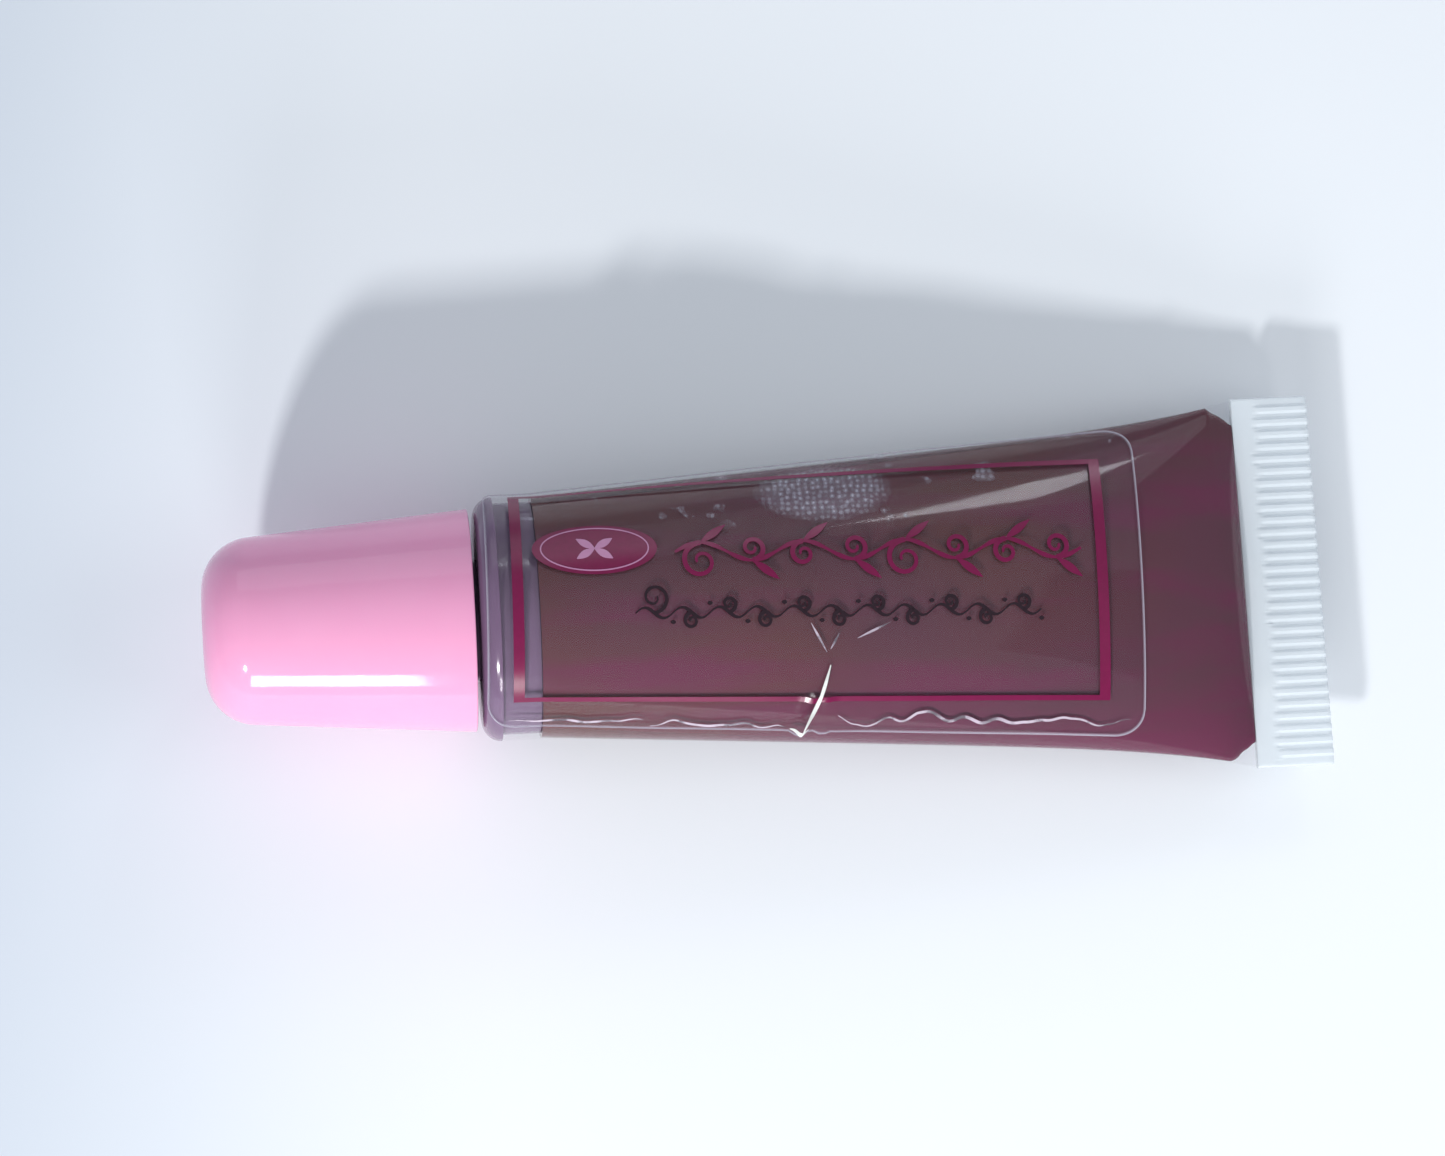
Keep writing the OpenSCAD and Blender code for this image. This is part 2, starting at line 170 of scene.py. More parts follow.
def wrapped(columns, rows, place):
    """A grid laid where place(u, v) says, u across and v along, both from 0 to 1, with its UVs."""
    bm = bmesh.new()
    bm.loops.layers.uv.new("sheet")
    bmesh.ops.create_grid(bm, x_segments=columns, y_segments=rows, size=0.5, calc_uvs=True)
    for vert in bm.verts:
        vert.co = place(vert.co.x + 0.5, vert.co.y + 0.5)
    return bm


def weld(bm, distance=1e-4):
    """Closes seams and poles, then points the faces outwards."""
    bmesh.ops.remove_doubles(bm, verts=bm.verts, dist=distance)
    bmesh.ops.recalc_face_normals(bm, faces=bm.faces)


def join(bm, *others):
    """Adds other shapes to bm."""
    for other in others:
        spare = bpy.data.meshes.new("spare")
        other.to_mesh(spare)
        other.free()
        bm.from_mesh(spare)
        bpy.data.meshes.remove(spare)
    return bm


def turned(profile, soft=0.12, steps=144, ring=True):
    """Spins (radius, height) points round the tube's axis, each corner softened.

    A ring's profile closes on itself, and another's starts and ends on the axis.
    """
    bm = bmesh.new()
    points = [bm.verts.new((r, 0, z)) for r, z in profile]
    edges = [bm.edges.new(pair) for pair in zip(points, points[1:])]
    if ring:
        edges.append(bm.edges.new((points[-1], points[0])))
    corners = points if ring else points[1:-1]
    bmesh.ops.bevel(bm, geom=corners, offset=soft, segments=3, profile=0.5,
                    affect="VERTICES", material=-1)
    bmesh.ops.spin(bm, geom=bm.verts[:] + bm.edges[:], cent=(0, 0, 0), axis=(0, 0, 1),
                   angle=2 * pi, steps=steps, use_merge=True)
    weld(bm)
    return bm


def screw_thread(wall_r, crest_r, low, turns, first_turn=0, per_turn=72):
    """A helical ridge with rounded flanks, closed at both ends and tapered into its wall."""
    sink = THREAD_SINK if crest_r > wall_r else -THREAD_SINK
    bm = bmesh.new()
    root = [(wall_r - sink, -THREAD_ROOT / 2), (crest_r, -THREAD_CREST / 2),
            (crest_r, THREAD_CREST / 2), (wall_r - sink, THREAD_ROOT / 2)]
    points = [bm.verts.new((r, 0, low + z)) for r, z in root]
    bm.faces.new(points)
    bmesh.ops.bevel(bm, geom=points[1:3], offset=0.15, segments=2, profile=0.5,
                    affect="VERTICES", material=-1)
    steps = round(turns * per_turn)
    bmesh.ops.spin(bm, geom=bm.faces[:], cent=(0, 0, 0), axis=(0, 0, 1), angle=2 * pi * turns,
                   dvec=(0, 0, THREAD_PITCH / per_turn), steps=steps)
    lead = radians(14)
    for vert in bm.verts:
        # Height along the thread tells how near an end this point is
        level = (vert.co.z - low) / THREAD_PITCH * 2 * pi
        near = min(level, turns * 2 * pi - level) + THREAD_ROOT / THREAD_PITCH
        keep = min(1, max(0.12, near / lead))
        r = hypot(vert.co.x, vert.co.y)
        slim = wall_r + (r - wall_r) * keep if (r - wall_r) * sink > 0 else r
        vert.co.x *= slim / r
        vert.co.y *= slim / r
    bmesh.ops.rotate(bm, verts=bm.verts, cent=(0, 0, 0),
                     matrix=Matrix.Rotation(2 * pi * first_turn, 3, "Z"))
    bmesh.ops.recalc_face_normals(bm, faces=bm.faces)
    return bm


def add_piece(name, bm, material, body, stands_for):
    """Makes a finished object of a bmesh, puts it on its body and hides the node that it stands for."""
    bmesh.ops.transform(bm, matrix=LYING, verts=bm.verts)
    mesh = bpy.data.meshes.new(name)
    bm.to_mesh(mesh)
    bm.free()
    mesh.shade_smooth()
    mesh.set_sharp_from_angle(angle=radians(35))
    mesh.materials.append(material)
    piece = bpy.data.objects.new(name, mesh)
    bpy.context.collection.objects.link(piece)
    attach(piece, body)
    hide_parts(stands_for)


# ---------------------------------------------------------------- the sleeve's form

def spread(share):
    """How far the sleeve is flattened at this share of its length, from 0 to 1."""
    return EVEN_SHARE * share + (1 - EVEN_SHARE) * share ** TAIL_POWER


def half_width(share):
    """Half the bore's width at this share of the sleeve's length."""
    return BORE_R + (FLAT_R - BORE_R) * spread(share)


def half_height(share):
    """The bore keeps its perimeter as it flattens, so its width gives its height."""
    a, r = half_width(share), BORE_R
    p = 8 * a - 12 * r
    q = 6 * a * a - 12 * r * a + 4 * r * r
    return max(0, (sqrt(max(0, p * p - 24 * q)) - p) / 12)


def share_at(z):
    """The share of the sleeve's length at this height."""
    return min(1, max(0, (-z - ROUND_END) / LOFT_L))


def off_the_table(point, inside=0.0):
    """The sleeve lies flat where it touches the table: nothing of it goes below."""
    lying = LYING @ point
    short = inside * MM - lying.z
    if short > 0:
        point = point + Vector((short / LYING[2][0], 0, 0))
    return point


def sleeve_point(angle, z, wall, pinch=0.0):
    """A point of the sleeve's wall: 0 is its inside and SLEEVE_WALL its outside."""
    share = share_at(z)
    point = Vector(((half_height(share) + wall) * cos(angle),
                    (half_width(share) + wall - pinch) * sin(angle), z))
    return off_the_table(point, SLEEVE_WALL - wall)


def eased(x, power=1.6):
    """Spaces the sections closer together towards the tail, where the sleeve bends most."""
    return 1 - (1 - x) ** power


# ---------------------------------------------------------------- the label's form

def turn_for(arc, a, b, steps=16):
    """The angle round an ellipse at which its curve is this long, from its top."""
    angle = 0
    for _ in range(steps):
        half = angle + arc / steps / 2 / hypot(a * cos(angle), b * sin(angle))
        angle += arc / steps / hypot(a * cos(half), b * sin(half))
    return angle


def fold(along, around, start, end, height, width):
    """A crease in the film from start, where it is highest, to end, where it dies out."""
    run = Vector(end) - Vector(start)
    reach = Vector((along, around)) - Vector(start)
    share = reach.dot(run) / run.length_squared
    aside = (reach.x * run.y - reach.y * run.x) / run.length
    fade = min(1, max(0, 1 - share)) * min(1, max(0, 1 + 4 * share))
    return height * fade * 2.718 ** -((aside / width) ** 2)


# Creases as (start, end, height, width), each point as (along the label, up from its middle), mm
PUCKER = [((24.0, -12.9), (26.2, -5.0), 0.6, 0.42),
          ((25.8, -12.9), (26.3, -6.5), 0.4, 0.35),
          ((24.0, -12.4), (19.5, -11.6), 0.12, 0.35),
          ((27.0, -12.4), (31.5, -11.8), 0.12, 0.35)]


def film_relief(along, around):
    """How far the label's film stands off the sleeve here: creases and a slight unevenness."""
    wave = noise.noise(Vector((along * 0.16, around * 0.2, 3.1)))
    creases = sum(fold(along, around, *crease) for crease in PUCKER)
    return 0.02 + 0.03 * wave + creases


def film_point(along, around, lift):
    """A point on the label: along it from the cap's end, round it from its middle, and above it."""
    level = along - LABEL_L / 2
    z = -LABEL_INSET - LABEL_L / 2 - level * cos(LABEL_SKEW) - around * sin(LABEL_SKEW)
    arc = around * cos(LABEL_SKEW) - level * sin(LABEL_SKEW) + LABEL_SHIFT
    share = share_at(z)
    over = max(0, min(0.98 * SHOULDER_R, z + SHOULDER_R))
    drop = SHOULDER_R - sqrt(SHOULDER_R ** 2 - over ** 2)
    grow = SLEEVE_WALL + LABEL_GAP - drop + max(0, film_relief(along, around)) + lift
    a, b = half_width(share), half_height(share)
    angle = turn_for(arc, a + SLEEVE_WALL, b + SLEEVE_WALL)
    return Vector(((b + grow) * cos(angle), (a + grow) * sin(angle), z))


def thin_sheet(columns, rows, place):
    """A closed sheet between place(u, v, 0) underneath and place(u, v, 1) on top."""
    bm = join(wrapped(columns, rows, lambda u, v: place(u, v, 1)),
              wrapped(columns, rows, lambda u, v: place(u, v, 0)))
    bmesh.ops.bridge_loops(bm, edges=[edge for edge in bm.edges if edge.is_boundary])
    bmesh.ops.recalc_face_normals(bm, faces=bm.faces)
    return bm


# ---------------------------------------------------------------- shading

def srgb(code):
    """A hex colour as the linear one that shaders take."""
    parts = [int(code[i:i + 2], 16) / 255 for i in (1, 3, 5)]
    return (*[c / 12.92 if c <= 0.04045 else ((c + 0.055) / 1.055) ** 2.4 for c in parts], 1)


def add_node(material, kind, inputs=None, **settings):
    """Adds a node. settings are its options, and inputs gives each socket a value or a link."""
    node = material.node_tree.nodes.new(kind)
    for name, value in settings.items():
        setattr(node, name, value)
    for name, value in (inputs or {}).items():
        if isinstance(value, bpy.types.NodeSocket):
            material.node_tree.links.new(value, node.inputs[name])
        else:
            node.inputs[name].default_value = value
    return node


def new_material(name, **sockets):
    """A Principled material and its shader, with some of the shader's own sockets set."""
    material = bpy.data.materials.new(name)
    material.use_nodes = True
    shader = material.node_tree.nodes["Principled BSDF"]
    for socket, value in sockets.items():
        shader.inputs[socket.replace("_", " ")].default_value = value
    return material, shader


def place_of(material):
    """Object coordinates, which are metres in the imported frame."""
    return add_node(material, "ShaderNodeTexCoord").outputs["Object"]


def per_mm(millimetres):
    """A texture's scale for a pattern of this size in Object coordinates."""
    return 1000 / millimetres


def clouds(material, vector, scale, detail, **more):
    """Noise from 0 to 1."""
    inputs = {"Vector": vector, "Scale": scale, "Detail": detail, **more}
    return add_node(material, "ShaderNodeTexNoise", inputs).outputs[0]


def stretched(material, vector, scale, shift=(0, 0, 0)):
    """The same coordinates, scaled and then shifted."""
    inputs = {"Vector": vector, "Location": shift, "Scale": scale}
    return add_node(material, "ShaderNodeMapping", inputs).outputs[0]


def ranged(material, value, least, most, start=0.0, end=1.0, **settings):
    """Least where value is at start or before it, and most where it is at end or past it."""
    inputs = {"Value": value, "From Min": start, "From Max": end, "To Min": least, "To Max": most}
    return add_node(material, "ShaderNodeMapRange", inputs, **settings).outputs[0]


def worked_out(material, operation, first, second, **settings):
    """Two values put together."""
    inputs = {0: first, 1: second}
    return add_node(material, "ShaderNodeMath", inputs, operation=operation, **settings).outputs[0]


def mixed(material, share, *colours):
    """A colour between two, each of them a hex code or a link."""
    first, second = (colour if isinstance(colour, bpy.types.NodeSocket) else srgb(colour)
                     for colour in colours)
    return add_node(material, "ShaderNodeMix", {0: share, 6: first, 7: second}, data_type="RGBA").outputs[2]


def bumped(material, height, depth, **more):
    """Normals of a skin with this height, whose greatest depth is in metres."""
    inputs = {"Height": height, "Distance": depth, "Strength": 1.0, **more}
    return add_node(material, "ShaderNodeBump", inputs).outputs[0]


def feed(material, shader, **links):
    """Links the shader's sockets, each by its name with _ for a space."""
    for socket, source in links.items():
        material.node_tree.links.new(source, shader.inputs[socket.replace("_", " ")])
    return material


def pink_moulded_polypropylene():
    """Opaque pigmented PP, injection moulded in a polished tool: glossy, with the faint waves
    that moulded walls have, so that a bright window shows in it as a slightly uneven line."""
    material, shader = new_material("pink_moulded_polypropylene", IOR=1.49, Subsurface_Weight=0.12,
                                    Subsurface_Radius=(0.0014, 0.0007, 0.001), Subsurface_Scale=1.0)
    place = place_of(material)
    swirl = clouds(material, place, per_mm(9), 3.0)
    flow = clouds(material, place, per_mm(4), 1.0)
    fine = clouds(material, place, per_mm(0.7), 2.0)
    waves = bumped(material, flow, 0.00003)
    return feed(material, shader,
                Base_Color=mixed(material, swirl, "#ec9dc4", "#f0a9cc"),
                Roughness=ranged(material, fine, 0.06, 0.11),
                Normal=bumped(material, fine, 0.000004, Normal=waves))


def clear_extruded_polyethylene():
    """LDPE sleeve, extruded and flexible: clear with a slight haze and faint lines along it."""
    material, shader = new_material("clear_extruded_polyethylene", IOR=1.51, Alpha=0.03,
                                    Base_Color=srgb("#a39cae"))
    drawn = stretched(material, place_of(material), (0.08, 1, 1))
    lines = clouds(material, drawn, per_mm(1.2), 2.0)
    return feed(material, shader,
                Roughness=ranged(material, lines, 0.07, 0.2),
                Normal=bumped(material, lines, 0.00002))


def welded_polyethylene():
    """The same sleeve, both walls melted together and chilled against a ribbed die: it lets light
    through, but scatters more of it than the free wall does, and its skin is glossy."""
    material, shader = new_material("welded_polyethylene", IOR=1.51, Alpha=0.62)
    milk = clouds(material, place_of(material), per_mm(6), 1.0)
    return feed(material, shader,
                Base_Color=mixed(material, milk, "#e3ecf2", "#edf3f7"),
                Roughness=ranged(material, milk, 0.15, 0.25))


def tinted_moulded_polyethylene():
    """Unpigmented LDPE, moulded thick with a polished finish: the gel inside tints it violet."""
    material, shader = new_material("tinted_moulded_polyethylene", IOR=1.51, Subsurface_Weight=0.2,
                                    Subsurface_Radius=(0.0015, 0.001, 0.0014), Subsurface_Scale=1.0)
    milk = clouds(material, place_of(material), per_mm(3), 2.0)
    return feed(material, shader,
                Base_Color=mixed(material, milk, "#685069", "#7b6280"),
                Roughness=ranged(material, milk, 0.1, 0.2))


def natural_moulded_polyethylene():
    """Unpigmented HDPE, moulded: milky, waxy and satin."""
    material, shader = new_material("natural_moulded_polyethylene", IOR=1.54, Subsurface_Weight=0.4,
                                    Subsurface_Radius=(0.002, 0.002, 0.0018), Subsurface_Scale=1.0)
    milk = clouds(material, place_of(material), per_mm(2.5), 3.0)
    return feed(material, shader,
                Base_Color=mixed(material, milk, "#cfd0d8", "#e2e3e9"),
                Roughness=ranged(material, milk, 0.2, 0.38))


def plum_gloss_gel():
    """Thick pigmented oil gel that wets the sleeve: deep plum, brown where it is densest, with
    long streaks where the filling nozzle laid it. Its clear coat is the shine of the wall over it."""
    material, shader = new_material("plum_gloss_gel", IOR=1.47, Roughness=0.4, Specular_IOR_Level=0.0,
                                    Coat_Weight=1.0, Coat_Roughness=0.06, Coat_IOR=1.45)
    place = place_of(material)
    laid = stretched(material, place, (0.1, 1, 0.6))
    streak = clouds(material, laid, per_mm(4.5), 4.0, Roughness=0.55)
    depth = clouds(material, place, per_mm(26), 1.0)
    dense = ranged(material, depth, 0.0, 1.0, start=0.4, end=0.6)
    thin = ranged(material, streak, 0.0, 0.8, start=0.48, end=0.66)
    body = mixed(material, dense, "#582a26", "#542534")
    return feed(material, shader, Base_Color=mixed(material, thin, body, "#62183c"))


def clear_label_film():
    """Clear polyester sticker, printed and stuck on by hand: nearly invisible where it has wetted
    the sleeve, silvered with tiny bubbles where it hasn't, and bright along its cut edge."""
    material, shader = new_material("clear_label_film", IOR=1.6, Roughness=0.12,
                                    Base_Color=srgb("#c6c0d0"))
    sheet = add_node(material, "ShaderNodeUVMap", uv_map="sheet").outputs[0]
    # The UV map is 1 by 1, so this gives millimetres along the label and up it
    size = stretched(material, sheet, (LABEL_L, LABEL_H, 1))
    edge = add_node(material, "ShaderNodeAttribute", attribute_name="edge_mm", attribute_type="GEOMETRY")
    cut = ranged(material, edge.outputs["Fac"], 0.5, 0.0, end=0.2)
    # An oval patch above the label's middle, and a few small clouds along its upper part
    oval = stretched(material, size, (0.19, 0.34, 1), shift=(-5.0, -6.9, 0))
    reach = add_node(material, "ShaderNodeVectorMath", {0: oval}, operation="LENGTH")
    patch = ranged(material, reach.outputs["Value"], 1.0, 0.0, start=0.75, end=1.05)
    loose = ranged(material, clouds(material, size, 0.3, 3.0, Roughness=0.5), 0.0, 0.8, start=0.64, end=0.67)
    height = add_node(material, "ShaderNodeSeparateXYZ", {"Vector": size}).outputs["Y"]
    upper = ranged(material, height, 0.0, 1.0, start=LABEL_H * 0.66, end=LABEL_H * 0.72)
    lifted = worked_out(material, "MAXIMUM", patch, worked_out(material, "MULTIPLY", loose, upper))
    # Tiny bubbles on a net, two to a millimetre
    net = {"Vector": size, "Scale": 2.0, "Randomness": 0.4}
    cells = add_node(material, "ShaderNodeTexVoronoi", net).outputs["Distance"]
    bubble = ranged(material, cells, 0.4, 0.1, start=0.15, end=0.5)
    silver = worked_out(material, "MULTIPLY", bubble, lifted)
    trapped = worked_out(material, "MAXIMUM", silver, cut)
    return feed(material, shader, Alpha=worked_out(material, "ADD", trapped, 0.012, use_clamp=True))


def printing_ink(name, code, deep):
    """Ink from an office printer, dried on the film: opaque, slightly glossy and a little uneven."""
    material, shader = new_material(name, Roughness=0.25, IOR=1.5)
    grain = clouds(material, place_of(material), per_mm(0.5), 2.0)
    return feed(material, shader, Base_Color=mixed(material, grain, code, deep))


def air_sheen_and_painted_glint(name, code, least, most):
    """Air behind film that has let go of the sleeve: a silvery sheen that comes and goes. Also used for a
    painted highlight on the film's crease.
    """
    material, shader = new_material(name, Roughness=0.12, IOR=1.5, Base_Color=srgb(code))
    breaks = clouds(material, place_of(material), per_mm(1.5), 3.0)
    return feed(material, shader, Alpha=ranged(material, breaks, least, most, start=0.4, end=0.6))


def white_moulded_polypropylene():
    """Inner cap: white PP, moulded with a satin tool finish."""
    material, shader = new_material("white_moulded_polypropylene", IOR=1.49)
    grain = clouds(material, place_of(material), per_mm(0.6), 3.0)
    return feed(material, shader,
                Base_Color=mixed(material, grain, "#ececea", "#f6f6f4"),
                Roughness=ranged(material, grain, 0.3, 0.45))


def expanded_polyethylene_foam():
    """Seal ring: closed-cell foam, cut from sheet, matt and finely pitted."""
    material, shader = new_material("expanded_polyethylene_foam", Roughness=0.8, IOR=1.5)
    net = {"Vector": place_of(material), "Scale": per_mm(0.25)}
    cells = add_node(material, "ShaderNodeTexVoronoi", net).outputs["Distance"]
    return feed(material, shader,
                Base_Color=mixed(material, cells, "#efefec", "#c9c9c4"),
                Normal=bumped(material, cells, 0.00004))


def matt_table():
    """Painted board: pale, cool and matt, with painted shade that makes it a little greyer towards its left
    end.
    """
    material, shader = new_material("matt_painted_board", Roughness=0.7, IOR=1.45)
    side = add_node(material, "ShaderNodeSeparateXYZ", {"Vector": place_of(material)}).outputs["X"]
    # Painted shade: the board's colour darkens towards its left end, standing for less light falling there
    bright = ranged(material, side, 0.0, 1.0, start=-0.08, end=-0.02, interpolation_type="SMOOTHSTEP")
    return feed(material, shader, Base_Color=mixed(material, bright, "#ccd5e0", "#f1f5f9"))


# ---------------------------------------------------------------- pieces of the tube

SLEEVE_SIDES = 144


def sleeve_level(v):
    """Height on the sleeve for v from 0 at the shoulder to 1 at the tail."""
    skirt = 0.05
    if v < skirt:
        return -SHOULDER_R - SKIRT_L * v / skirt
    return -ROUND_END - LOFT_L * eased((v - skirt) / (1 - skirt))


def tube_sleeve():
    """The sleeve's wall, outside and inside, closed at its rim and at the tail."""
    rows = 84
    walls = []
    # The inside ends just short of the outside, so that the wall closes over it
    for depth, length in ((SLEEVE_WALL, 1), (SLEEVE_WALL - LENS_GAP, 0.9985)):
        wall = wrapped(SLEEVE_SIDES, rows,
                       lambda u, v: sleeve_point(2 * pi * u, sleeve_level(v * length), depth))
        bmesh.ops.remove_doubles(wall, verts=wall.verts, dist=1e-4)
        walls.append(wall)
    bm = join(*walls)
    for low, high in ((-ROUND_END, 0), (-SEAL_END, -LOFT_L)):
        rim = [edge for edge in bm.edges if edge.is_boundary and low < edge.verts[0].co.z < high]
        bmesh.ops.bridge_loops(bm, edges=rim)
    bmesh.ops.recalc_face_normals(bm, faces=bm.faces)
    return bm


def rib_height(y, depth):
    """The embossed ribs: they start raggedly, a little way into the seal."""
    number = round(y / RIB_PITCH)
    ragged = 0.5 + 0.45 * noise.noise(Vector((number * 1.7, 0.3, 0.9)))
    start = SEAL_SMOOTH_L + ragged
    grown = min(1, max(0, (depth - start) / 0.35))
    wave = min(1, max(-1, 1.7 * cos(2 * pi * y / RIB_PITCH)))
    if abs(y) > SEAL_HALF_W - RIB_PITCH / 2:
        wave = -1
    return RIB_H / 2 * wave * grown


def tail_seal():
    """The walls pressed together: a smooth band, then ribs embossed in both faces."""
    overlap = 0.2
    round_off = 0.25

    def place(u, v, side):
        depth = v * (SEAL_END - SLEEVE_L + overlap) - overlap
        y = (2 * u - 1) * SEAL_HALF_W
        from_edge = min(SEAL_HALF_W - abs(y), SEAL_END - SLEEVE_L - depth, round_off)
        rounded = sqrt(max(0, 1 - (1 - from_edge / round_off) ** 2))
        lip = round_off * 0.6
        half = SEAL_T / 2 - lip + lip * rounded + rib_height(y, depth)
        weld_wave = 0.02 * noise.noise(Vector((y * 0.2, depth * 0.3, 5.0)))
        return Vector((half * (1 if side else -1) + weld_wave, y, -SLEEVE_L - depth))

    return thin_sheet(480, 26, place)


def gloss_fill():
    """The gel: it fills the neck and the sleeve, and stops short of the tail's corners."""
    film = 0.02
    chamfer = 1.9
    rows = 96
    mouth = (NECK_BORE - film, NECK_H - PLUG_L - film)
    throat = BORE_R - JOINED_GAP - SKIRT_WALL - film
    head_level = -SHOULDER_T - film
    skirt_level = -ROUND_END - film
    head = [(0, mouth[1]), (mouth[0], mouth[1]), (mouth[0], head_level), (throat, head_level),
            (throat, skirt_level)]
    # The gel's blunt end at the tail, as (height, share of its thickness)
    close = [(-GLOSS_STOP - 0.1, 0.8), (-GLOSS_STOP - 0.2, 0.4), (-GLOSS_STOP - 0.24, 0.0)]
    levels = [skirt_level - (GLOSS_STOP + skirt_level) * eased(i / rows, 1.5) for i in range(rows + 1)]

    def sleeve_ring(z, angle, slim=1.0):
        uneven = 0.25 * noise.noise(Vector((z * 1.5, sin(angle), 2.0)))
        short = max(0, chamfer + uneven - (GLOSS_STOP + z)) * 0.9
        point = sleeve_point(angle, max(z, -GLOSS_STOP), SLEEVE_WALL - LENS_GAP - film, short)
        point.x *= slim
        point.z = z
        return point

    count = len(head) + len(levels) + len(close)

    def place(u, v):
        number = round(v * (count - 1))
        angle = 2 * pi * u
        if number < len(head):
            r, z = head[number]
            return Vector((r * cos(angle), r * sin(angle), z))
        number -= len(head)
        if number < len(levels):
            return sleeve_ring(levels[number], angle)
        z, slim = close[number - len(levels)]
        return sleeve_ring(z, angle, slim)

    bm = wrapped(SLEEVE_SIDES, count - 1, place)
    weld(bm)
    return bm


def label_film():
    """The sticker: a rounded rectangle of film with each point's distance from its cut edge."""
    def spaced(x):
        # More of the grid goes to the edges, where the film's cut edge is bright
        return x - 0.75 * sin(2 * pi * x) / (2 * pi)

    def edge_height(along):
        short = max(0, LABEL_CORNER - min(along, LABEL_L - along))
        return LABEL_H / 2 - LABEL_CORNER + sqrt(max(0, LABEL_CORNER ** 2 - short ** 2))

    def place(u, v, side):
        along = LABEL_L * spaced(u)
        return film_point(along, edge_height(along) * (2 * spaced(v) - 1), LABEL_T * side)

    bm = thin_sheet(190, 120, place)
    sheet = bm.loops.layers.uv["sheet"]
    distance = bm.verts.layers.float.new("edge_mm")
    for face in bm.faces:
        for corner in face.loops:
            along = LABEL_L * spaced(corner[sheet].uv.x)
            around = edge_height(along) * (2 * spaced(corner[sheet].uv.y) - 1)
            corner[sheet].uv = (along / LABEL_L, around / LABEL_H + 0.5)
            over = Vector((abs(along - LABEL_L / 2) - LABEL_L / 2 + LABEL_CORNER,
                           abs(around) - LABEL_H / 2 + LABEL_CORNER))
            outside = Vector((max(0, over.x), max(0, over.y))).length
            corner.vert[distance] = LABEL_CORNER - outside - min(0, max(over.x, over.y))
    return bm


# ---------------------------------------------------------------- print on the label

INK_LIFT = LABEL_T + 0.012
INK_T = 0.02


def stroke(path, width, steps, lift=INK_LIFT):
    """A band of ink that follows path(t) over the label, t from 0 to 1, as wide as width(t)."""
    def place(u, v, side):
        ahead, behind = Vector(path(min(1, v + 0.01))), Vector(path(max(0, v - 0.01)))
        run = (ahead - behind).normalized()
        point = Vector(path(v)) + Vector((-run.y, run.x)) * width(v) * (u - 0.5)
        return film_point(point.x, point.y, lift + INK_T * side)
    return thin_sheet(2, steps, place)


def straight(start, end):
    """A path from start to end."""
    return lambda t: (start[0] + (end[0] - start[0]) * t, start[1] + (end[1] - start[1]) * t)


def steady(width):
    """The same width all along."""
    return lambda t: width


def tapering(width, least=0.05):
    """Widest in its middle and pointed at both ends, as a leaf or a pen stroke is."""
    return lambda t: least + (width - least) * sin(pi * t)


def curl(root, size, way, turns=1.3):
    """A path that leaves the stem at root and winds inwards, above it or below it."""
    def path(t):
        angle = -way * pi / 2 + 2 * pi * turns * t
        r = size * (1 - 0.8 * t)
        return root[0] + r * cos(angle), root[1] + way * size + r * sin(angle)
    return path


FRAME_START = 1.95
FRAME_L = 46.4
FRAME_H = 19.2
FRAME_BAR = 0.85
FRAME_LINE = 0.42


def print_frame():
    """The printed border: a broad bar at each end and a thin line along each side."""
    near = FRAME_START
    far = near + FRAME_L
    bars = [stroke(straight((x, -FRAME_H / 2), (x, FRAME_H / 2)), steady(FRAME_BAR), 64)
            for x in (near + FRAME_BAR / 2, far - FRAME_BAR / 2)]
    lines = [stroke(straight((near + FRAME_BAR, y), (far - FRAME_BAR, y)), steady(FRAME_LINE), 120)
             for y in (-FRAME_H / 2 + FRAME_LINE / 2, FRAME_H / 2 - FRAME_LINE / 2)]
    return join(*bars, *lines)


BADGE = (8.35, 2.6)
BADGE_L = 9.6
BADGE_H = 4.2


def badge_disc():
    """An oval of ink."""
    def place(u, v, side):
        angle = 2 * pi * u
        return film_point(BADGE[0] + BADGE_L / 2 * v * cos(angle),
                          BADGE[1] + BADGE_H / 2 * v * sin(angle), INK_LIFT + INK_T * side)

    top = wrapped(56, 10, lambda u, v: place(u, v, 1))
    under = wrapped(56, 10, lambda u, v: place(u, v, 0))
    for face in (top, under):
        bmesh.ops.remove_doubles(face, verts=face.verts, dist=1e-3)
    bm = join(top, under)
    bmesh.ops.bridge_loops(bm, edges=[edge for edge in bm.edges if edge.is_boundary])
    bmesh.ops.recalc_face_normals(bm, faces=bm.faces)
    return bm


def badge_flower():
    """A pale flower of four petals and a fine line just inside the oval's edge."""
    lift = INK_LIFT + 0.03
    reach, height = 1.95, 1.2
    inset = 0.86
    petals = []
    for number in range(4):
        angle = pi / 4 + number * pi / 2
        tip = (BADGE[0] + reach * cos(angle), BADGE[1] + height * sin(angle))
        petals.append(stroke(straight(BADGE, tip), tapering(0.62), 12, lift))

    def keyline(t):
        return (BADGE[0] + BADGE_L / 2 * inset * cos(2 * pi * t),
                BADGE[1] + BADGE_H / 2 * inset * sin(2 * pi * t))

    return join(*petals, stroke(keyline, steady(0.1), 64, lift))


def vine():
    """A flowing stem with curling tendrils and leaves."""
    start, end, middle, sway = 14.5, 46.3, 2.2, 0.75
    tendrils = 8
    pitch = (end - start) / tendrils

    def stem(t):
        along = start + (end - start) * t
        return along, middle + sway * sin(2 * pi * (along - start) / (2 * pitch))

    strokes = [stroke(stem, lambda t: 0.22 + 0.14 * sin(2 * pi * tendrils * t) ** 2, 150)]
    for number in range(tendrils):
        way = 1 if number % 2 == 0 else -1
        tall = 1.5 if number in (0, 4) else 1.0
        root = stem((number + 0.5) / tendrils)
        strokes.append(stroke(curl(root, tall, -way), lambda t: 0.42 - 0.22 * t, 40))
        tip = (root[0] + 2.0, root[1] + way * 1.5)
        strokes.append(stroke(straight(root, tip), tapering(0.62), 12))
    return join(*strokes)


